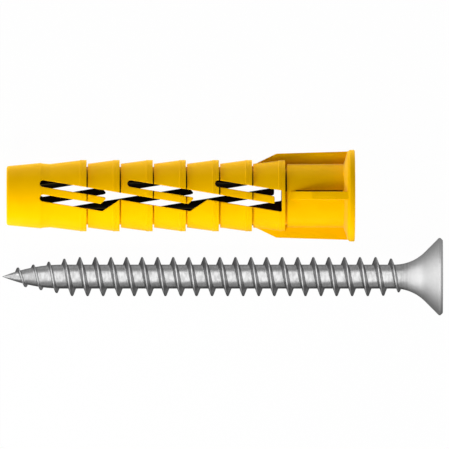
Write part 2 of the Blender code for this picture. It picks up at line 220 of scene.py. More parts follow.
class Bench:
    """Blender's modelling operators, run on one object at a time."""

    @staticmethod
    def clear() -> None:
        """Leave nothing selected."""
        if bpy.context.object and bpy.context.object.mode != "OBJECT":
            bpy.ops.object.mode_set(mode="OBJECT")
        bpy.ops.object.select_all(action="DESELECT")

    @staticmethod
    def pick(*objs: bpy.types.Object) -> None:
        """Select these objects alone, and make the first one active.

        Args:
            *objs: The objects to select.
        """
        Bench.clear()
        for obj in objs:
            obj.select_set(True)
        bpy.context.view_layer.objects.active = objs[0]

    @staticmethod
    def draw(name: str, points: Iterable[Sequence[float]]) -> bpy.types.Object:
        """Draw a chain of edges, one vertex extruded from the last.

        Args:
            name: Name of the new object.
            points: The chain's points, in three dimensions.

        Returns:
            The object, in edit mode with nothing selected.
        """
        chain = [Vector(point) for point in points]
        Bench.clear()
        bpy.ops.mesh.primitive_plane_add(size=MM, location=(0, 0, 0))
        obj = bpy.context.object
        obj.name = obj.data.name = name
        bpy.ops.object.mode_set(mode="EDIT")
        bpy.ops.mesh.select_mode(type="VERT")
        bpy.ops.mesh.select_all(action="SELECT")
        bpy.ops.mesh.merge(type="CENTER")
        bpy.ops.transform.translate(value=chain[0])
        for before, after in zip(chain, chain[1:]):
            bpy.ops.mesh.extrude_region_move(TRANSFORM_OT_translate={"value": after - before})
        bpy.ops.mesh.select_all(action="DESELECT")
        return obj

    @staticmethod
    def close() -> None:
        """Fill the drawn chain with one face, which stays selected."""
        bpy.ops.mesh.select_all(action="SELECT")
        bpy.ops.mesh.edge_face_add()

    @staticmethod
    def loft(name: str, rings: Sequence[Sequence[Vector]]) -> bpy.types.Object:
        """Extrude a closed outline through a stack of rings, and cap both ends.

        Args:
            name: Name of the new object.
            rings: Closed outlines with equal numbers of points, point matched to point.

        Returns:
            The closed solid.
        """
        obj = Bench.draw(name, rings[0])
        Bench.close()
        for before, after in zip(rings, rings[1:]):
            bpy.ops.mesh.extrude_region_move(TRANSFORM_OT_translate={"value": (0, 0, 0)})
            places = KDTree(len(before))
            for index, point in enumerate(before):
                places.insert(point, index)
            places.balance()
            mesh = bmesh.from_edit_mesh(obj.data)
            for vert in mesh.verts:
                if vert.select:
                    vert.co = after[places.find(vert.co)[1]]
            bmesh.update_edit_mesh(obj.data)
        Bench.leave(merge=False)
        return obj

    @staticmethod
    def leave(merge: bool = True) -> None:
        """Turn the faces in edit mode outwards, and go back to object mode.

        Args:
            merge: Whether doubled points are merged first.
        """
        bpy.ops.mesh.select_all(action="SELECT")
        if merge:
            bpy.ops.mesh.remove_doubles(threshold=WELD)
        bpy.ops.mesh.normals_make_consistent(inside=False)
        bpy.ops.object.mode_set(mode="OBJECT")

    @staticmethod
    def spin(steps: int) -> None:
        """Spin the drawn chain once round X, and go back to object mode.

        Args:
            steps: Number of sides of the solid.
        """
        bpy.ops.mesh.select_all(action="SELECT")
        bpy.ops.mesh.spin(steps=steps, angle=math.tau, center=(0, 0, 0), axis=(1, 0, 0))
        Bench.leave()

    @staticmethod
    def roll(obj: bpy.types.Object, turn: float) -> None:
        """Turn a new solid round X, with its object left as it was.

        Args:
            obj: The solid.
            turn: The angle.
        """
        obj.matrix_world = Matrix.Rotation(turn, 4, "X")
        Bench.pick(obj)
        bpy.ops.object.transform_apply(location=False, rotation=True, scale=False)

    @staticmethod
    def cut(obj: bpy.types.Object, tool: bpy.types.Object, operation: str) -> None:
        """Combine an object with a tool solid, which is then removed.

        The solver now and then leaves a wrong part behind. That shows as open edges, and
        the cut is then made again on the mesh as it was.

        Args:
            obj: The closed solid that is changed.
            tool: The closed solid that it is combined with.
            operation: The Boolean operation's name.
        """
        before = obj.data
        for attempt in range(CUT_TRIES):
            obj.data = before.copy()
            modifier = obj.modifiers.new(tool.name, "BOOLEAN")
            modifier.operation = operation
            modifier.solver = "EXACT"
            modifier.object = tool
            Bench.pick(obj)
            bpy.ops.object.modifier_apply(modifier=modifier.name)
            gaps = Bench.open_edges(obj)
            if gaps == 0:
                break
            log.info("%s: cut %d left %d open edges", tool.name, attempt + 1, gaps)
        bpy.data.objects.remove(tool, do_unlink=True)

    @staticmethod
    def open_edges(obj: bpy.types.Object) -> int:
        """Return how many of a mesh's edges don't lie between two faces.

        Args:
            obj: The object whose mesh is counted.

        Returns:
            The number of edges, 0 on a closed mesh.
        """
        mesh = bmesh.new()
        mesh.from_mesh(obj.data)
        count = sum(1 for edge in mesh.edges if len(edge.link_faces) != 2)
        mesh.free()
        return count

    @staticmethod
    def settle(obj: bpy.types.Object, matrix: Matrix, smooth_angle: float) -> None:
        """Put a finished mesh in the frame, with its object at the origin.

        Args:
            obj: The finished mesh.
            matrix: Where it lies.
            smooth_angle: Edges that bend by more than this stay sharp.
        """
        Bench.pick(obj)
        obj.matrix_world = matrix
        bpy.ops.object.transform_apply(location=True, rotation=True, scale=True)
        bpy.ops.object.shade_smooth_by_angle(angle=smooth_angle)
        Bench.clear()


class Signal:
    """A shader socket that can be used in Python expressions."""

    def __init__(self, nodes: "Graph", socket: bpy.types.NodeSocket) -> None:
        """Wrap a socket of a graph."""
        self.nodes = nodes
        self.socket = socket

    def _math(self, operation: str, *values: Any) -> "Signal":
        """Add a Math node on values or links."""
        inputs = dict(enumerate(values))
        return self.nodes.add("ShaderNodeMath", {"operation": operation}, inputs)

    def __add__(self, other: Any) -> "Signal":
        """Return self + other."""
        return self._math("ADD", self, other)

    def __radd__(self, other: Any) -> "Signal":
        """Return other + self."""
        return self._math("ADD", other, self)

    def __sub__(self, other: Any) -> "Signal":
        """Return self - other."""
        return self._math("SUBTRACT", self, other)

    def __rsub__(self, other: Any) -> "Signal":
        """Return other - self."""
        return self._math("SUBTRACT", other, self)

    def __mul__(self, other: Any) -> "Signal":
        """Return self * other."""
        return self._math("MULTIPLY", self, other)

    def __rmul__(self, other: Any) -> "Signal":
        """Return other * self."""
        return self._math("MULTIPLY", other, self)

    def __truediv__(self, other: Any) -> "Signal":
        """Return self / other."""
        return self._math("DIVIDE", self, other)

    def power(self, exponent: float) -> "Signal":
        """Return self to a power."""
        return self._math("POWER", self, exponent)

    def smallest(self, other: Any) -> "Signal":
        """Return the smaller of self and other."""
        return self._math("MINIMUM", self, other)

    def largest(self, other: Any) -> "Signal":
        """Return the larger of self and other."""
        return self._math("MAXIMUM", self, other)

    def ramp(self, low: float, high: float) -> "Signal":
        """Return 0 below low and 1 above high, with a smooth rise between.

        Args:
            low: Where the rise starts. It may be the larger of the two, for a fall.
            high: Where the rise ends.

        Returns:
            The share as a signal.
        """
        values = {"Value": self, "From Min": low, "From Max": high}
        settings = {"interpolation_type": "SMOOTHSTEP", "clamp": True}
        return self.nodes.add("ShaderNodeMapRange", settings, values, "Result")


class Graph:
    """A material's or world's node tree."""

    def __init__(self, tree: bpy.types.NodeTree) -> None:
        """Start from an empty tree."""
        self.tree = tree
        tree.nodes.clear()

    def add(
        self,
        kind: str,
        settings: dict[str, Any] | None = None,
        inputs: dict[Any, Any] | None = None,
        output: str | int = 0,
    ) -> Signal:
        """Add a node.

        Args:
            kind: The node's type.
            settings: Values of the node's own properties, set first.
            inputs: Values or signals, by socket name or index.
            output: The output socket that is wanted.

        Returns:
            The output as a signal.
        """
        node = self.tree.nodes.new(kind)
        for name, value in (settings or {}).items():
            setattr(node, name, value)
        for name, value in (inputs or {}).items():
            if isinstance(value, Signal):
                self.tree.links.new(value.socket, node.inputs[name])
            else:
                node.inputs[name].default_value = value
        return Signal(self, node.outputs[output])

    def position(self) -> Signal:
        """Return the object coordinates."""
        return self.add("ShaderNodeTexCoord", output="Object")

    def along(self, matrix: Matrix) -> tuple[Signal, Signal, Signal]:
        """Return a piece's own coordinates: axial, across and up from its axis.

        Args:
            matrix: Where the piece lies in the frame.

        Returns:
            Three signals, in metres.
        """
        inverse = matrix.inverted()
        turned = self.add(
            "ShaderNodeMapping",
            {"vector_type": "POINT"},
            {
                "Vector": self.position(),
                "Location": inverse.translation,
                "Rotation": inverse.to_euler(),
            },
        )
        parts = self.add("ShaderNodeSeparateXYZ", inputs={0: turned})
        outputs = parts.socket.node.outputs
        return tuple(Signal(self, outputs[name]) for name in ("X", "Y", "Z"))

    def vector(self, x: Any, y: Any, z: Any) -> Signal:
        """Return three numbers as a vector."""
        return self.add("ShaderNodeCombineXYZ", inputs={0: x, 1: y, 2: z})

    def noise(self, vector: Signal, scale: float, detail: float = 2.0) -> Signal:
        """Return fractal noise from 0 to 1."""
        inputs = {"Vector": vector, "Scale": scale, "Detail": detail, "Roughness": 0.55}
        return self.add("ShaderNodeTexNoise", {"noise_dimensions": "3D"}, inputs, "Fac")

    def blend(self, share: Any, low: Any, high: Any) -> Signal:
        """Mix two colours."""
        settings = {"data_type": "RGBA", "blend_type": "MIX", "clamp_factor": True}
        # Sockets of a colour mix, by index: factor 0, colours 6 and 7, result 2
        return self.add("ShaderNodeMix", settings, {0: share, 6: low, 7: high}, 2)

    def add_output(self, kind: str, shader: Signal) -> None:
        """Add an output node for a shader."""
        node = self.tree.nodes.new(kind)
        self.tree.links.new(shader.socket, node.inputs["Surface"])


def new_material(name: str) -> tuple[bpy.types.Material, Graph]:
    """Add a material.

    Args:
        name: The material's name.

    Returns:
        The material, and its emptied node tree.
    """
    material = bpy.data.materials.new(name)
    material.use_nodes = True
    return material, Graph(material.node_tree)


def grey(level: float) -> tuple[float, float, float, float]:
    """Return a grey as a colour."""
    return (level, level, level, 1.0)


@dataclass(frozen=True)
class MouldedNylon:
    """Glossy yellow moulding, with near-black shade painted into its bore, slots and grooves.

    Args:
        colour: Base colour of the outside.
        gleam: Tint of the gloss and of the sheen.
        painted_shade_colour: Near-black colour of the shade painted into the bore, slots and
            grooves.
        roughness: Roughness of the moulded face.
        painted_shade_radius: Within this distance from the axis the shade is painted on.
        painted_shade_fade: How fast the painted shade fades.
        painted_shade_start: Where along the plug the painted shade starts.
        painted_shade_end: Where the painted shade in the bore ends.
        groove_radius: Outside this radius the painted shade stays on the grooves beyond the bore's
            end.
        groove_painted_shade_end: Where the painted shade in the grooves ends.
        mottle_scale: Scale of the faint spots in the colour.
        flow_scale: Scale of the streaks that run along the plug.
        pebble_scale: Scale of the skin's fine unevenness.
        skin: Height of that unevenness.
    """

    colour: tuple[float, float, float, float] = (0.97, 0.52, 0.0, 1.0)
    gleam: tuple[float, float, float, float] = (1.0, 0.74, 0.0, 1.0)
    painted_shade_colour: tuple[float, float, float, float] = (0.018, 0.013, 0.012, 1.0)
    roughness: float = 0.30
    painted_shade_radius: float = 3.15 * MM
    painted_shade_fade: float = 0.20 * MM
    painted_shade_start: float = 0.4 * MM
    painted_shade_end: float = 33.0 * MM
    groove_radius: float = 2.75 * MM
    groove_painted_shade_end: float = 39.0 * MM
    mottle_scale: float = 320.0
    flow_scale: float = 900.0
    pebble_scale: float = 2600.0
    skin: float = 0.02 * MM

    def material(self, placing: Matrix) -> bpy.types.Material:
        """Return the material.

        Args:
            placing: Where the plug lies in the frame.

        Returns:
            The new material.
        """
        material, graph = new_material("yellow_nylon")
        axial, across, up = graph.along(placing)
        radius = (across * across + up * up).power(0.5)
        spot = graph.vector(axial, across, up)
        mottle = graph.noise(spot, self.mottle_scale)
        flow = graph.noise(graph.vector(axial * 0.25, across, up), self.flow_scale, 3.0)
        shade = graph.blend(
            mottle.ramp(0.35, 0.7),
            self.colour,
            (self.colour[0] * 0.97, self.colour[1] * 0.95, self.colour[2], 1.0),
        )
        # Painted shade: near-black is blended in over the bore, the slots and the fine grooves,
        # where shade falls. It fades in near the tip, and in the bore it stops short of the mouth.
        inside = radius.ramp(self.painted_shade_radius, self.painted_shade_radius - self.painted_shade_fade)
        inside = inside * axial.ramp(self.painted_shade_start, self.painted_shade_start + 4 * self.painted_shade_fade)
        bore = axial.ramp(self.painted_shade_end, self.painted_shade_end - 7 * self.painted_shade_fade)
        grooves = radius.ramp(self.groove_radius, self.groove_radius + 0.1 * MM)
        grooves = grooves * axial.ramp(self.groove_painted_shade_end, self.groove_painted_shade_end - self.painted_shade_fade)
        inside = inside * bore.largest(grooves)
        # The mottled yellow, with the painted shade laid over it.
        tone = graph.blend(inside, shade, self.painted_shade_colour)
        height = graph.noise(spot, self.pebble_scale) * 0.6 + flow * 0.4
        relief = {"Strength": 0.05, "Distance": self.skin, "Height": height}
        bump = graph.add("ShaderNodeBump", {}, relief, "Normal")
        shader = graph.add(
            "ShaderNodeBsdfPrincipled",
            {},
            {
                "Base Color": tone,
                "Roughness": self.roughness + (flow - 0.5) * 0.12 + inside * 0.3,
                "IOR": 1.50,
                "Specular IOR Level": 0.03,
                "Sheen Weight": 0.55,
                "Sheen Roughness": 0.3,
                "Sheen Tint": self.gleam,
                "Specular Tint": self.gleam,
                "Normal": bump,
            },
        )
        graph.add_output("ShaderNodeOutputMaterial", shader)
        return material


@dataclass(frozen=True)
class ZincPlate:
    """Bright zinc plate on rolled steel, mottled on the shank and smooth on the head.

    Args:
        colour: Base colour of the metal.
        edge: Tint of the reflection at grazing angles.
        roughness: Mean roughness.
        mottle: How much darker the plate's spots are than the rest, from 0 to 1.
        satin: How much rougher the head is than the shank.
        smooth_from: Where along the screw the spots start to fade.
        smooth_to: Where the plate is smooth.
        rings_from: Where the fine turned rings under the head start.
        rings_to: Where they end.
        grain_scale: Scale of the plate's spots.
        cloud_scale: Scale of the wide pale and dark patches.
        ring_scale: Scale of the turned rings.
        streak_scale: Scale of the rolling marks along the thread.
        skin: Height of the plate's unevenness.
    """

    colour: tuple[float, float, float, float] = (0.66, 0.66, 0.66, 1.0)
    edge: tuple[float, float, float, float] = (0.25, 0.25, 0.25, 1.0)
    roughness: float = 0.36
    mottle: float = 0.36
    satin: float = 0.16
    smooth_from: float = 45.0 * MM
    smooth_to: float = 47.5 * MM
    rings_from: float = 45.6 * MM
    rings_to: float = 47.0 * MM
    grain_scale: float = 3300.0
    cloud_scale: float = 500.0
    ring_scale: float = 4200.0
    streak_scale: float = 1800.0
    skin: float = 0.010 * MM

    def material(self, placing: Matrix) -> bpy.types.Material:
        """Return the material.

        Args:
            placing: Where the screw lies in the frame.

        Returns:
            The new material.
        """
        material, graph = new_material("zinc_plated_steel")
        axial, across, up = graph.along(placing)
        spot = graph.vector(axial, across * 0.5, up * 0.5)
        shank = axial.ramp(self.smooth_to, self.smooth_from)
        rough = self.roughness + (1.0 - shank) * self.satin
        grain = graph.noise(spot, self.grain_scale).ramp(0.30, 0.72)
        cloud = graph.noise(spot, self.cloud_scale).ramp(0.3, 0.8)
        near_fillet = axial.ramp(self.rings_from, self.rings_from + 0.3 * MM)
        near_fillet = near_fillet * axial.ramp(self.rings_to, self.rings_to - 0.4 * MM)
        turned = graph.noise(graph.vector(axial, 0.0, 0.0), self.ring_scale, 1.0)
        turned = turned.ramp(0.35, 0.65) * near_fillet
        worn = grain * (shank * 0.85 + 0.15) * 0.7 + cloud * 0.2 + turned * 0.4
        dark = tuple(level * (1.0 - self.mottle) for level in self.colour[:3]) + (1.0,)
        tone = graph.blend(worn.smallest(1.0), self.colour, dark)
        streak = graph.vector(axial * 0.3, across * 2.0, up * 2.0)
        streak = graph.noise(streak, self.streak_scale, 3.0)
        height = grain * shank * 0.5 + streak * 0.3 + turned * 0.6
        relief = {"Strength": 0.25, "Distance": self.skin, "Height": height}
        bump = graph.add("ShaderNodeBump", {}, relief, "Normal")
        shader = graph.add(
            "ShaderNodeBsdfPrincipled",
            {},
            {
                "Base Color": tone,
                "Metallic": 1.0,
                "Roughness": rough + (streak - 0.5) * 0.10 + (grain - 0.5) * shank * 0.10,
                "Specular Tint": self.edge,
                "Normal": bump,
            },
        )
        graph.add_output("ShaderNodeOutputMaterial", shader)
        return material


@dataclass
class Plug:
    """The moulded plug: barbed body, sleeve, fins, flared rim, bore and zigzag slots."""

    length: float = 40.0 * MM
    tip_radius: float = 3.39 * MM
    nose_length: float = 3.9 * MM
    nose_radius: float = 3.76 * MM
    groove_width: float = 1.1 * MM
    groove_radius: float = 3.64 * MM
    tip_edge: float = 0.30 * MM
    nose_lip: float = 0.07 * MM
    nose_lip_run: float = 0.35 * MM
    barbs: int = 7
    barb_pitch: float = 3.8 * MM
    barb_root: float = 3.65 * MM
    barb_crest: float = 4.10 * MM
    barb_land: float = 0.74 * MM
    land_lip: float = 0.045 * MM
    land_line: float = 0.40 * MM
    land_line_depth: float = 0.02 * MM
    land_line_slope: float = 1.5
    collar: float = 8.0 * MM
    sleeve_radius: float = 3.67 * MM
    rim_radius: float = 5.27 * MM
    rim_band: float = 0.55 * MM
    rim_chamfer: float = 0.23 * MM
    flare_length: float = 1.28 * MM
    flare_step: float = 0.42 * MM
    bore_mouth: float = 2.60 * MM
    bore_waist: float = 1.50 * MM
    bore_nose: float = 1.20 * MM
    bore_chamfer: float = 0.30 * MM
    bore_funnel: float = 4.0 * MM
    bore_nose_length: float = 3.0 * MM
    fin_thickness: float = 0.92 * MM
    fin_draft: float = math.radians(0.5)
    fin_setback: float = 0.19 * MM
    fin_fall: float = 0.25 * MM
    fin_depth: float = 0.45 * MM
    fin_run_in: float = 0.58 * MM
    fin_ramp: float = 2.4 * MM
    side_fin_lead: float = 3.4 * MM
    face_fin_lead: float = -0.6 * MM
    slot_width: float = 0.77 * MM
    slot_angle: float = math.radians(9.3)
    slot_start: float = 4.22 * MM
    slot_rise: float = 1.38 * MM
    slot_period: float = 10.05 * MM
    slot_end_margin: float = 0.4 * MM
    slot_end_width: float = 0.83 * MM
    tongues: int = 3
    tongue_low: float = 6.6 * MM
    tongue_high: float = 7.4 * MM
    link_corner: float = 6.8 * MM
    link_peak: float = 8.8 * MM
    tongue_round: float = 0.30 * MM
    slot_round: float = 0.16 * MM
    slot_rim: float = 0.11 * MM
    relief_width: float = 0.14 * MM
    relief_depth: float = 0.70 * MM
    relief_lean: float = math.radians(28)
    collar_relief: float = 1.4
    fin_relief_width: float = 0.19 * MM
    fin_undercut: float = 0.03 * MM
    edge: float = 0.05 * MM
    nose_rounds: tuple[float, ...] = (0.10 * MM, 0.15 * MM, 1.2 * MM)
    rim_rounds: tuple[float, ...] = (0.12 * MM, 0.12 * MM, 0.10 * MM, 0.14 * MM)
    fin_rounds: tuple[float, ...] = (0.6 * MM, 0.5 * MM, 0.0)
    rim_overdraw: float = 1.3
    rim_least_chord: float = 0.15
    rim_least_reach: float = 0.02
    rim_shrink: float = 0.85
    rim_slope: float = 0.5
    rim_lift: float = 0.05
    rim_flare: float = 1.25
    rim_chords: int = 4
    nose_chords: int = 12
    step_gaps: tuple[float, ...] = (0.01 * MM, 0.06 * MM)
    least_run: float = 0.02 * MM
    least_chord: float = 0.004 * MM
    smooth_angle: float = math.radians(32)
    steps: int = 160
    finest: float = 0.40 * MM
    finish: MouldedNylon = field(default_factory=MouldedNylon)

    @property
    def sleeve_start(self) -> float:
        """Where the last barb ends and the plain sleeve starts."""
        return self.length - self.collar

    @property
    def sleeve_end(self) -> float:
        """Where the sleeve flares out to the rim."""
        return self.length - self.flare_length

    def outside(self) -> list[Point]:
        """Draw the outside.

        Returns:
            The outer (axial, radius) outline from the tip to the mouth.
        """
        points = [(0.0, self.bore_nose), (0.0, self.tip_radius)]
        radii = [self.tip_edge]
        points += [
            (self.nose_length, self.nose_radius),
            (self.nose_length + self.nose_lip_run, self.nose_radius - self.nose_lip),
            (self.nose_length + self.groove_width, self.groove_radius),
        ]
        radii += self.nose_rounds
        crest, line = self.barb_crest, self.land_line_depth
        half = self.land_line_slope * line
        for step in self.barb_steps:
            root = self.sleeve_radius if step == self.sleeve_start else self.barb_root
            lip, groove = step - self.barb_land, step - self.land_line
            points += [
                (lip - self.edge, crest - self.land_lip),
                (lip, crest),
                (groove - half, crest),
                (groove, crest - line),
                (groove + half, crest),
                (step, crest),
                (step, root),
            ]
            radii += [0.0, 0.0, 0.0, 0.0, 0.0, self.edge, self.edge]
        points += [
            (self.sleeve_end, self.sleeve_radius),
            (self.sleeve_end + self.flare_step, self.rim_radius - self.rim_chamfer),
            (self.length - self.rim_band, self.rim_radius),
            (self.length, self.rim_radius),
            (self.length, self.bore_mouth + self.bore_chamfer),
        ]
        radii += self.rim_rounds
        return round_corners(points, radii, 3)

    @property
    def barb_steps(self) -> list[float]:
        """Where each barb steps down, from the tip to the sleeve."""
        places = reversed(range(self.barbs))
        return [self.sleeve_start - index * self.barb_pitch for index in places]

    def bore(self) -> list[Point]:
        """Draw the bore.

        Returns:
            Its (axial, radius) outline, without the ends that it shares with the outside.
        """
        return [
            (self.length - self.bore_chamfer, self.bore_mouth),
            (self.sleeve_start, self.bore_mouth),
            (self.sleeve_start - self.bore_funnel, self.bore_waist),
            (2 * self.bore_nose_length, self.bore_waist),
            (self.bore_nose_length, self.bore_nose),
        ]

    def shell(self) -> bpy.types.Object:
        """Spin the body with its bore.

        Returns:
            The closed solid of revolution.
        """
        outline = split_long(self.outside(), self.finest) + split_long(self.bore(), 3 * self.finest)
        obj = Bench.draw("plug_moulding", [(axial, radius, 0.0) for axial, radius in outline])
        mesh = bmesh.from_edit_mesh(obj.data)
        for vert in mesh.verts:
            vert.select = len(vert.link_edges) == 1
        bmesh.update_edit_mesh(obj.data)
        bpy.ops.mesh.edge_face_add()
        Bench.spin(self.steps)
        return obj

    def fin(self, lead: float, turn: float) -> bpy.types.Object:
        """Return one fin: a plate that ramps out of the sleeve and runs into the rim.

        Args:
            lead: How far before the sleeve's start the fin leaves the wall.
            turn: The fin's place round the axis.

        Returns:
            The fin as a closed solid.
        """
        start = self.sleeve_start - lead
        run_out = self.sleeve_end + self.flare_step + self.rim_chamfer / 2
        top = self.rim_radius - self.fin_setback
        foot = self.sleeve_radius - self.fin_depth
        side = self.fin_thickness / 2
        profile = round_corners(
            [
                (start - self.fin_run_in, foot),
                (start, self.sleeve_radius),
                (start + self.fin_ramp, top - self.fin_fall),
                (run_out, top),
                (run_out, foot),
            ],
            self.fin_rounds,
            3,
        )
        obj = Bench.draw("fin", [(axial, radius, -side) for axial, radius in profile])
        Bench.close()
        bpy.ops.mesh.extrude_region_move(TRANSFORM_OT_translate={"value": (0, 0, 2 * side)})
        Bench.leave()
        for vert in obj.data.vertices:
            vert.co.z *= 1 + (top - vert.co.y) * math.tan(self.fin_draft) / side
        modifier = obj.modifiers.new("edges", "BEVEL")
        modifier.width, modifier.segments = 0.6 * self.edge, 3
        modifier.limit_method, modifier.angle_limit = "ANGLE", math.radians(60)
        Bench.pick(obj)
        bpy.ops.object.modifier_apply(modifier=modifier.name)
        Bench.roll(obj, turn)
        return obj

    def slot_edge(self, slot: int, axial: float, side: int) -> float:
        """Return the height across the plug of a slot's upper (1) or lower (-1) edge."""
        fall = math.tan(self.slot_angle) * (axial - self.slot_start - slot * self.slot_period)
        return self.slot_rise - fall + side * self.slot_width / 2 / math.cos(self.slot_angle)

    def slot_nose(self, slot: int) -> list[Point]:
        """Draw the round start of a slot.

        Args:
            slot: The slot's number, or -1 for the short one before the first tongue.

        Returns:
            The arc from its lower edge to its upper edge.
        """
        axial = self.slot_start + max(slot, 0) * self.slot_period
        height = self.slot_edge(slot, axial, 0)
        reach, steps = self.slot_width / 2, self.nose_chords
        low = -math.pi / 2 - self.slot_angle
        turns = [low - math.pi * step / steps for step in range(steps + 1)]
        return [(axial + reach * math.cos(a), height + reach * math.sin(a)) for a in turns]

    def tongue_end(self, slot: int) -> list[Point]:
        """Draw the free end of the tongue below a slot.

        Args:
            slot: The slot's number.

        Returns:
            The end's two corners.
        """
        if slot == self.tongues - 1:
            low = high = self.sleeve_start - self.slot_end_margin - self.slot_end_width
        else:
            low = self.slot_start + slot * self.slot_period + self.tongue_low
            high = self.slot_start + slot * self.slot_period + self.tongue_high
        return [(low, self.slot_edge(slot - 1, low, 1)), (high, self.slot_edge(slot, high, -1))]

    def zigzag_outline(self) -> list[Point]:
        """Draw the joined slots of one side, seen from above.

        Returns:
            One closed outline.
        """
        last, end = self.tongues - 1, self.sleeve_start - self.slot_end_margin
        points: list[Point] = []
        radii: list[float] = []

        def add(more: Sequence[Point], *rounds: float) -> None:
            """Add points, each with its corner's radius."""
            points.extend(more)
            radii.extend(rounds or [0.0] * len(more))

        tip, root = self.tongue_round, self.slot_round
        for slot in range(self.tongues):
            stop = [(end, self.slot_edge(last, end, 1)), (end, self.slot_edge(last - 1, end, -1))]
            add(self.slot_nose(slot))
            inner = slot < last
            add(self.tongue_end(slot + 1) if inner else stop, root, tip if inner else root)
        for slot in range(last - 1, -1, -1):
            peak = self.slot_start + slot * self.slot_period + self.link_peak
            foot = self.slot_start + slot * self.slot_period + self.link_corner
            low = (foot, self.slot_edge(slot - 1, foot, -1))
            add([(peak, self.slot_edge(slot, peak, -1)), low], root, root)
        add(self.slot_nose(-1))
        add(self.tongue_end(0), root, tip)
        return round_loop(points, radii, 4)

    def stations(self, loop: Sequence[Point]) -> list[Point]:
        """Return an outline with points added along its edges and beside each barb step.

        Args:
            loop: The closed outline, seen from above.

        Returns:
            The closed outline, whose points can follow the barbs up and down.
        """
        offsets = [side * gap for side in (-1, 1) for gap in self.step_gaps]
        beside = [step + offset for step in self.barb_steps for offset in offsets]
        dense: list[Point] = []
        for before, after in zip(loop, [*loop[1:], loop[0]]):
            run = after[0] - before[0]
            parts = max(math.ceil(math.dist(before, after) / self.finest), 1)
            shares = [part / parts for part in range(parts)]
            if abs(run) > self.least_run:
                shares += [(axial - before[0]) / run for axial in beside]
            for share in sorted(share for share in shares if 0 <= share < 1):
                point = (before[0] + run * share, before[1] + (after[1] - before[1]) * share)
                if not dense or math.dist(point, dense[-1]) > self.least_chord:
                    dense.append(point)
        return dense

    def rims(self, loop: Sequence[Vector]) -> list[Vector]:
        """Return how far, and which way, the slot's rounded rim reaches from each point.

        Args:
            loop: The slots' closed outline, seen from above.

        Returns:
            One vector for each point, into the wall. It is shorter at tight corners, so that
            the rim never folds over itself.
        """
        count = len(loop)
        area = sum(loop[i - 1].cross(loop[i]) for i in range(count))
        outs, reach = [], [self.slot_rim] * count
        for index in range(count):
            along = loop[(index + 1) % count] - loop[index - 1]
            outs.append(Vector((along.y, -along.x)).normalized() * math.copysign(1.0, area))
        folded = True
        while folded:
            folded = False
            for index in range(count):
                chord = loop[index] - loop[index - 1]
                spread = outs[index] * reach[index] - outs[index - 1] * reach[index - 1]
                forward = (chord + self.rim_overdraw * spread).dot(chord)
                if forward >= self.rim_least_chord * chord.length_squared:
                    continue
                if reach[index] > self.rim_least_reach * self.slot_rim:
                    reach[index] *= self.rim_shrink
                    reach[index - 1] *= self.rim_shrink
                    folded = True
        for order in (range(-count, count), range(count - 1, -count - 1, -1)):
            behind = 1 if order.step < 0 else -1
            for index in order:
                here, other = index % count, (index + behind) % count
                room = reach[other] + self.rim_slope * (loop[here] - loop[other]).length
                reach[here] = min(reach[here], room)
        return [out * length for out, length in zip(outs, reach)]

    def zigzag(self, turn: float) -> bpy.types.Object:
        """Return the slots of one side as a solid that flares out at the plug's skin.

        The flare leaves a rounded rim along every slot.

        Args:
            turn: 0 for the front slots, half a turn for the back ones.

        Returns:
            The solid, which reaches the plug's middle.
        """
        loop = [Vector(point) for point in self.stations(self.zigzag_outline())]
        skin = self.outside()

        def lift(point: Vector, beside: Vector) -> float:
            """Find the skin's height over a point.

            Args:
                point: The point, seen from above.
                beside: A point beside it, whose barb it stays on.

            Returns:
                The height above the plug's axis.
            """
            near, own = height_at(skin, beside.x), height_at(skin, point.x)
            radius = own if abs(own - near) < self.slot_rim else near
            return math.sqrt(radius**2 - point.y**2)

        rings: list[list[Vector]] = [[] for _ in range(self.rim_chords + 3)]
        for point, rim in zip(loop, self.rims(loop)):
            top = lift(point, point)
            foot, corner = Vector((*point, top - rim.length)), Vector((*point, top))
            over = lift(point + rim, point) + self.rim_lift * rim.length
            brow = Vector((*(point + rim), over))
            rings[0].append(Vector((*point, -self.edge)))
            for ring in range(self.rim_chords + 1):
                share = ring / self.rim_chords
                bend = foot * (1 - share) ** 2 + corner * 2 * share * (1 - share) + brow * share**2
                rings[1 + ring].append(bend)
            outer = (*(point + self.rim_flare * rim), self.barb_crest + self.slot_width)
            rings[-1].append(Vector(outer))
        obj = Bench.loft("zigzag", rings)
        Bench.roll(obj, turn)
        return obj

    def step_reliefs(self, side: int) -> bpy.types.Object:
        """Return the fine grooves that the mould leaves at the foot of each barb's step.

        A groove is deepest a little above the middle, and runs out towards both sides.

        Args:
            side: 1 for the front half of the mould, -1 for the back half.

        Returns:
            One ring for each groove, joined in one object.
        """
        rings = []
        for step in self.barb_steps:
            last = step == self.sleeve_start
            grow = self.collar_relief if last else 1.0
            root = self.sleeve_radius if last else self.barb_root
            start, end = step - self.edge / 5, step + self.relief_width * grow
            outer = self.barb_crest + self.slot_width
            corners = [(start, root), (end, root), (end, outer), (start, outer), (start, root)]
            ring = Bench.draw("relief", [(axial, radius, 0.0) for axial, radius in corners])
            Bench.spin(self.steps)
            shift = Vector((0.0, 0.0, -side * self.relief_depth))
            ring.location = Matrix.Rotation(-self.relief_lean, 3, "X") @ shift
            rings.append(ring)
        Bench.pick(*rings)
        bpy.ops.object.join()
        bpy.ops.object.transform_apply(location=True, rotation=False, scale=False)
        return rings[0]

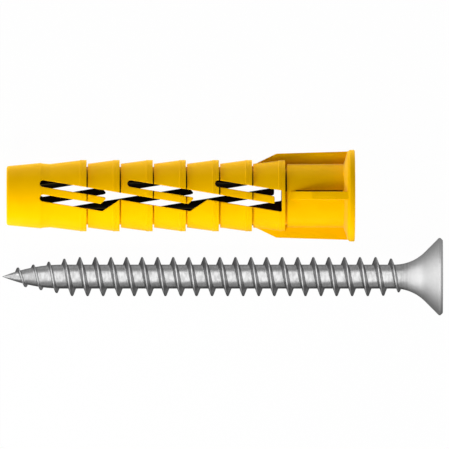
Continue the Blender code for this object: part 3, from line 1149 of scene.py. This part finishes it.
    def fin_reliefs(self) -> bpy.types.Object:
        """Draw the fine grooves along one side of the foot of the front and back fins.

        Returns:
            One bar for each groove, joined in one object.
        """
        bars = []
        start, end = self.sleeve_start + self.fin_ramp / 2, self.sleeve_end - self.relief_width
        low, high = self.sleeve_radius - self.relief_depth, self.sleeve_radius + self.relief_width
        for turn in (math.pi / 2, -math.pi / 2):
            Bench.clear()
            bpy.ops.mesh.primitive_cube_add(size=1, location=(0, 0, 0))
            bar = bpy.context.object
            bar.name = "fin_relief"
            bar.scale = (end - start, high - low, self.fin_relief_width)
            across = self.fin_undercut - (self.fin_thickness + self.fin_relief_width) / 2
            spun = Matrix.Rotation(turn, 4, "X")
            bar.location = spun @ Vector(((start + end) / 2, (low + high) / 2, across))
            bar.rotation_euler = spun.to_euler()
            bars.append(bar)
        Bench.pick(*bars)
        bpy.ops.object.transform_apply(location=True, rotation=True, scale=True)
        bpy.ops.object.join()
        return bars[0]

    def build(self) -> bpy.types.Object:
        """Make the plug.

        Returns:
            The finished plug, laid where its solid lies.
        """
        obj = self.shell()
        for side in (-1, 1):
            Bench.cut(obj, self.step_reliefs(side), "DIFFERENCE")
        leads = (self.side_fin_lead, self.face_fin_lead) * 2
        fins = [self.fin(lead, turn * math.pi / 2) for turn, lead in enumerate(leads)]
        Bench.pick(*fins)
        bpy.ops.object.join()
        Bench.cut(obj, fins[0], "UNION")
        Bench.cut(obj, self.fin_reliefs(), "DIFFERENCE")
        for turn in (0.0, math.pi):
            Bench.cut(obj, self.zigzag(turn), "DIFFERENCE")
        obj.visible_glossy = False
        return Piece.PLUG.dress(obj, self.finish, self.smooth_angle)


@dataclass
class Screw:
    """The steel screw: point, rolled thread, filleted countersunk head and cross recess."""

    length: float = 50.694 * MM
    core: float = 1.38 * MM
    crest: float = 2.25 * MM
    pitch: float = 1.79 * MM
    flank: float = math.radians(19)
    crest_flat: float = 0.12 * MM
    root_fillet: float = 0.10 * MM
    crest_round: float = 0.04 * MM
    point: float = 6.9 * MM
    thread_start: float = 1.2 * MM
    lead_in: float = 0.5 * MM
    taper_end: float = 8.1 * MM
    taper_slope: float = 0.19
    run_out: float = 3.0 * MM
    overrun: float = 0.90 * MM
    head: float = 4.45 * MM
    rim: float = 0.45 * MM
    head_fillet: float = 5.0 * MM
    face_chamfer: float = 0.27 * MM
    face_edge: float = 0.10 * MM
    recess_reach: float = 2.4 * MM
    wing_width: float = 1.1 * MM
    notch_width: float = 0.30 * MM
    notch_reach: float = 1.25 * MM
    recess_depth: float = 2.7 * MM
    floor_depth: float = 1.9 * MM
    floor_scale: float = 0.60
    recess_lip: float = 0.1
    cone_margin: float = 0.2 * MM
    cone_round: float = 0.05 * MM
    face_ring: float = 0.6 * MM
    fillet_chords: int = 16
    smooth_angle: float = math.radians(40)
    steps: int = 96
    finish: ZincPlate = field(default_factory=ZincPlate)

    @property
    def cone_end(self) -> float:
        """Where the head's cone meets its rim."""
        return self.length - self.rim

    @property
    def fillet(self) -> tuple[float, float]:
        """Where the head's fillet leaves the core, and where it meets the cone.

        Returns:
            Two places along the axis.
        """
        corner = self.cone_end - (self.head - self.core)
        tangent = self.head_fillet * math.tan(math.pi / 8)
        return corner - tangent, corner + tangent * math.cos(math.pi / 4)

    @property
    def thread_end(self) -> float:
        """Where the thread has faded out."""
        return self.fillet[0] + self.overrun

    def body(self, axial: float) -> float:
        """Find the radius without the thread.

        Args:
            axial: A place from the point to the rim.

        Returns:
            The radius there.
        """
        start, cone = self.fillet
        if axial < self.point:
            return self.core * (1 - (1 - axial / self.point) ** 2)
        if axial < start:
            return self.core
        if axial < cone:
            depth = math.sqrt(self.head_fillet**2 - (axial - start) ** 2)
            return self.core + self.head_fillet - depth
        return self.head - max(self.cone_end - axial, 0.0)

    def ridge(self, axial: float) -> float:
        """Find how far the thread stands out of the body.

        Args:
            axial: A place along the axis.

        Returns:
            The height of its crest.
        """
        crest = self.crest - max(self.taper_end - axial, 0.0) * self.taper_slope
        height = max(crest - self.body(min(axial, self.thread_end - self.run_out)), 0.0)
        lead_in = min(max((axial - self.thread_start) / self.lead_in, 0.0), 1.0)
        run_out = min(max((axial - self.thread_end) / self.run_out + 1, 0.0), 1.0)
        return height * lead_in * math.sqrt(1 - run_out**2)

    def section(self, centre: float) -> list[Point]:
        """Return the (axial, radius) points across one pitch of the thread.

        Args:
            centre: The ridge's axial place at this angle.

        Returns:
            The points, from the root before the ridge to just short of the next one.
        """
        flat, height = self.crest_flat / 2, self.ridge(centre)
        foot, half = flat + height * math.tan(self.flank), self.pitch / 2
        corners = [(-half, 0.0), (-foot, 0.0), (-flat, 1.0), (flat, 1.0), (foot, 0.0), (half, 0.0)]
        drawn = round_corners(
            [(offset, rise * height) for offset, rise in corners],
            [self.root_fillet, self.crest_round, self.crest_round, self.root_fillet],
            3,
        )
        points = []
        for offset, rise in drawn[:-1]:
            axial = min(max(centre + offset, 0.0), self.thread_end)
            share = self.ridge(axial) / height if height > WELD else 0.0
            points.append((axial, self.body(axial) + rise * min(share, 1.0)))
        return points

    def shank(self) -> bpy.types.Object:
        """Return the threaded shank, open at its head end.

        The thread tapers in at the point and fades at the head, which no operator draws,
        so its ridge is wound round the axis point by point.

        Returns:
            The shank.
        """
        turns = math.ceil(self.thread_end / self.pitch) + 2
        mesh = bmesh.new()
        rows = []
        for step in range(-self.steps, turns * self.steps):
            angle = math.tau * (step % self.steps) / self.steps
            y, z = math.cos(angle), math.sin(angle)
            section = self.section(self.pitch * step / self.steps)
            places = [(axial, radius * y, radius * z) for axial, radius in section]
            rows.append([mesh.verts.new(place) for place in places])
        for here, row in enumerate(rows[: -self.steps - 1]):
            strip = row + rows[here + self.steps][:1]
            beside = rows[here + 1] + rows[here + self.steps + 1][:1]
            for a in range(len(strip) - 1):
                mesh.faces.new((strip[a], strip[a + 1], beside[a + 1], beside[a]))
        bmesh.ops.remove_doubles(mesh, verts=mesh.verts, dist=WELD)
        data = bpy.data.meshes.new("screw_rolled")
        mesh.to_mesh(data)
        mesh.free()
        obj = bpy.data.objects.new("screw_rolled", data)
        bpy.context.scene.collection.objects.link(obj)
        return obj

    def countersink(self) -> bpy.types.Object:
        """Spin the head.

        Returns:
            The head, open at the shank's end.
        """
        cone = self.fillet[1]
        run, chords = cone - self.thread_end, self.fillet_chords
        arc = [self.thread_end + run * step / chords for step in range(chords + 1)]
        outline = [(axial, self.body(axial)) for axial in arc]
        outline += round_corners(
            [
                (cone + self.cone_margin, self.body(cone + self.cone_margin)),
                (self.cone_end, self.head),
                (self.length - self.face_chamfer, self.head),
                (self.length, self.head - self.face_chamfer),
                (self.length, self.head - self.face_ring),
                (self.length, 0.0),
            ],
            [self.cone_round, self.face_edge, self.face_edge, 0.0],
            4,
        )
        obj = Bench.draw("head", [(axial, radius, 0.0) for axial, radius in outline])
        Bench.spin(self.steps)
        return obj

    def recess(self) -> bpy.types.Object:
        """Draw the tapered cross that is pressed into the head.

        Returns:
            The closed solid.
        """
        half = self.wing_width / 2
        notch, diagonal = self.notch_width / math.sqrt(2), self.notch_reach / math.sqrt(2)
        quarter = [
            (self.recess_reach, -half), (self.recess_reach, half), (half + notch, half),
            (diagonal, diagonal), (half, half + notch),
        ]
        outline = []
        for turn in range(4):
            spun = Matrix.Rotation(turn * math.pi / 2, 2)
            outline += [spun @ Vector(point) for point in quarter]
        lip = self.recess_lip * self.recess_depth
        obj = Bench.draw("recess", [(self.length + lip, p.x, p.y) for p in outline])
        Bench.close()
        floor = (-lip - self.floor_depth, self.floor_scale)
        point = (self.floor_depth - self.recess_depth, 1 - self.floor_scale)
        for move, taper in (floor, point):
            bpy.ops.mesh.extrude_region_move(TRANSFORM_OT_translate={"value": (move, 0, 0)})
            bpy.ops.transform.resize(value=(1, taper, taper), center_override=(0.0, 0.0, 0.0))
        Bench.leave(merge=False)
        return obj

    def build(self) -> bpy.types.Object:
        """Make the screw.

        Returns:
            The finished screw, laid where its solid lies.
        """
        obj = self.shank()
        Bench.pick(obj, self.countersink())
        bpy.ops.object.join()
        bpy.ops.object.mode_set(mode="EDIT")
        Bench.leave()
        Bench.cut(obj, self.recess(), "DIFFERENCE")
        return Piece.SCREW.dress(obj, self.finish, self.smooth_angle)


@dataclass
class Lamp:
    """A softbox that looks at the pair.

    Args:
        name: Name of the lamp.
        azimuth: Its direction seen from above, in degrees from +X.
        elevation: Its height above the floor, in degrees.
        distance: How far away it stands, in metres.
        size: Width and height of its face, in metres.
        power: Its power in watts.
        lights: The piece it is aimed at. The plug's lamps light the floor as well.
    """

    name: str
    azimuth: float
    elevation: float
    distance: float
    size: tuple[float, float]
    power: float
    lights: Piece

    def hang(self, lit: Sequence[bpy.types.Object], target: Vector) -> None:
        """Add the lamp, turned to a point.

        Args:
            lit: The objects that take its light.
            target: The point that it looks at.
        """
        data = bpy.data.lights.new(self.name, "AREA")
        data.shape = "RECTANGLE"
        data.size, data.size_y = self.size
        data.energy = self.power
        obj = bpy.data.objects.new(self.name, data)
        round_z, rise = math.radians(self.azimuth), math.radians(self.elevation)
        level = self.distance * math.cos(rise)
        height = self.distance * math.sin(rise)
        place = Vector((level * math.cos(round_z), level * math.sin(round_z), height))
        obj.location = place
        obj.rotation_euler = (target - place).to_track_quat("-Z", "Y").to_euler()
        bpy.context.scene.collection.objects.link(obj)
        aim = bpy.data.collections.new("lit_by_" + self.name)
        for piece in lit:
            aim.objects.link(piece)
        obj.light_linking.receiver_collection = aim


@dataclass
class Studio:
    """Floor, lamps, sky and camera."""

    view_width: float = 51.6 * MM
    view_centre: tuple[float, float, float] = (0.07 * MM, 0.93 * MM, 4.5 * MM)
    lens: float = 1200.0
    sensor: float = 36.0
    floor_size: float = 6.0
    floor_glow: float = 0.985
    floor_gleam: float = 0.45
    sky: float = 0.10
    sky_gleam: float = 0.30
    floor_fill: float = 1.8
    shade_far: float = 0.7
    shade_near: float = 0.85
    far_band: tuple[float, ...] = (-5.4 * MM, -4.6 * MM, -1.4 * MM, -2.6 * MM)
    near_band: tuple[float, ...] = (-22.0 * MM, -18.0 * MM, -7.5 * MM, -9.0 * MM)
    floor_grey: float = 0.80
    aim_height: float = 5 * MM
    lamps: tuple[Lamp, ...] = (
        Lamp("plug_key", -140, 50, 0.062, (0.014, 0.014), 0.0155, Piece.PLUG),
        Lamp("plug_front", -90, 38, 0.40, (0.35, 0.35), 0.74, Piece.PLUG),
        Lamp("plug_nose", 180, 13, 0.40, (0.35, 0.16), 0.42, Piece.PLUG),
        Lamp("plug_back", 90, 6, 0.40, (0.35, 0.05), 0.33, Piece.PLUG),
        Lamp("plug_mouth", -60, 42, 0.40, (0.35, 0.35), 0.44, Piece.PLUG),
        Lamp("screw_over", 0, 75, 0.35, (0.90, 0.90), 2.95, Piece.SCREW),
        Lamp("screw_point", 180, 18, 0.40, (0.80, 0.30), 1.46, Piece.SCREW),
    )

    def floor(self) -> bpy.types.Object:
        """Add the pale floor, which shows as white but keeps a soft shadow.

        Returns:
            The floor.
        """
        Bench.clear()
        bpy.ops.mesh.primitive_plane_add(size=self.floor_size, location=(0, 0, 0))
        floor = bpy.context.object
        floor.name = "floor"
        material, graph = new_material("floor")
        path = graph.add("ShaderNodeLightPath", output="Is Camera Ray")
        outputs = path.socket.node.outputs
        kinds = ("Is Glossy Ray", "Is Transmission Ray", "Is Diffuse Ray")
        glossy, through, spread = (Signal(graph, outputs[kind]) for kind in kinds)
        seen = (path.largest(through) * self.floor_glow).largest(glossy)
        across = graph.add("ShaderNodeSeparateXYZ", inputs={0: graph.position()}, output="Y")
        # Painted shadow: the floor's glow in reflections is dimmed in two bands along the screw,
        # one on each side of it, where its shadow falls.
        bands = (self.far_band, self.near_band)
        far, near = (across.ramp(*band[:2]) * across.ramp(*band[2:]) for band in bands)
        shade = 1.0 - far * self.shade_far - near * self.shade_near
        strength = 1.0 - glossy * (1.0 - shade * self.floor_gleam)
        paint = graph.add("ShaderNodeBsdfDiffuse", {}, {"Color": grey(self.floor_grey)}, "BSDF")
        glow = graph.add("ShaderNodeEmission", {}, {"Strength": strength}, "Emission")
        spread = spread * self.floor_fill
        fill = graph.add("ShaderNodeEmission", {}, {"Strength": spread}, "Emission")
        mixed = graph.add("ShaderNodeMixShader", {}, {0: seen, 1: paint, 2: glow})
        shader = graph.add("ShaderNodeAddShader", {}, {0: mixed, 1: fill})
        graph.add_output("ShaderNodeOutputMaterial", shader)
        floor.data.materials.append(material)
        return floor

    def sky_light(self) -> None:
        """Add an even sky, which shows as white behind the object."""
        world = bpy.data.worlds.new("studio")
        bpy.context.scene.world = world
        world.use_nodes = True
        graph = Graph(world.node_tree)
        path = graph.add("ShaderNodeLightPath", output="Is Camera Ray")
        glossy = Signal(graph, path.socket.node.outputs["Is Glossy Ray"])
        glow = path * (1.0 - self.sky) + glossy * (self.sky_gleam - self.sky) + self.sky
        values = {"Color": grey(1.0), "Strength": glow}
        light = graph.add("ShaderNodeBackground", {}, values, "Background")
        graph.add_output("ShaderNodeOutputWorld", light)

    def camera(self) -> None:
        """Add the camera, square to the two lying pieces and far enough to show them flat."""
        data = bpy.data.cameras.new("camera")
        data.lens, data.sensor_width = self.lens, self.sensor
        data.clip_start, data.clip_end = 10 * MM, 100.0
        obj = bpy.data.objects.new("camera", data)
        lean = -(Piece.PLUG.pitch() + Piece.SCREW.pitch()) / 2
        away = Vector((-math.sin(lean), 0.0, math.cos(lean)))
        obj.location = Vector(self.view_centre) + away * (self.view_width * self.lens / self.sensor)
        obj.rotation_euler = (0.0, -lean, 0.0)
        bpy.context.scene.collection.objects.link(obj)
        bpy.context.scene.camera = obj

    def build(self, pieces: dict[Piece, bpy.types.Object]) -> None:
        """Add the whole studio.

        Args:
            pieces: The finished pieces that the lamps light.
        """
        floor = self.floor()
        self.sky_light()
        self.camera()
        for lamp in self.lamps:
            lit = [pieces[lamp.lights]] + ([floor] if lamp.lights is Piece.PLUG else [])
            lamp.hang(lit, Vector((0.0, 0.0, self.aim_height)))
        bpy.context.scene.view_settings.view_transform = "Standard"


def main() -> None:
    """Build both pieces and the studio, and note the sizes."""
    pieces = {}
    for kind, maker in ((Piece.PLUG, Plug()), (Piece.SCREW, Screw())):
        piece = pieces[kind] = maker.build()
        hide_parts(kind.node)
        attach(piece, "root")
        log.info("%s: %d faces", piece.name, len(piece.data.polygons))
    Studio().build(pieces)


if __name__ == "__main__":
    main()
